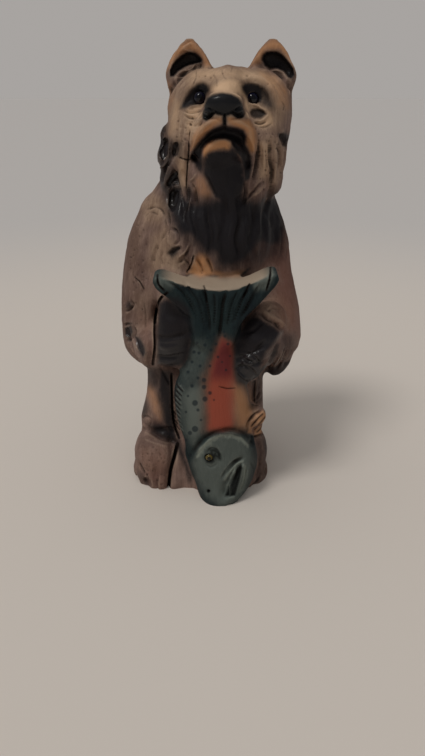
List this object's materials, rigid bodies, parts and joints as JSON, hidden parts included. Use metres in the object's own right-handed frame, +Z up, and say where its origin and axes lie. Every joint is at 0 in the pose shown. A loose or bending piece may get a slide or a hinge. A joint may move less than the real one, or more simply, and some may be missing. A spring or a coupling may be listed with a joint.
{
  "type": "carved wooden bear",
  "caption": "Upright carved and painted wooden bear statue with pointed ears, a long mane and clasped paws that hold a trout head down, on a flat cut base.",
  "frame": {"origin": "middle of the flat underside, on the floor plane", "axes": "+Z up, -Y the way the bear faces, +X towards the bear's left"},
  "size_m": [0.2725, 0.2551, 0.6373],
  "materials": {
    "painted_wood": "carved, scorched and painted wood, worn dry",
    "dark_glass_right": "polished dark glass",
    "dark_glass_left": "polished dark glass",
    "gold_glass": "polished amber glass"
  },
  "bodies": {
    "root": {"carved_bear": "painted_wood", "bear_right_eye": "dark_glass_right", "bear_left_eye": "dark_glass_left", "trout_eye": "gold_glass"}
  },
  "joints": []
}
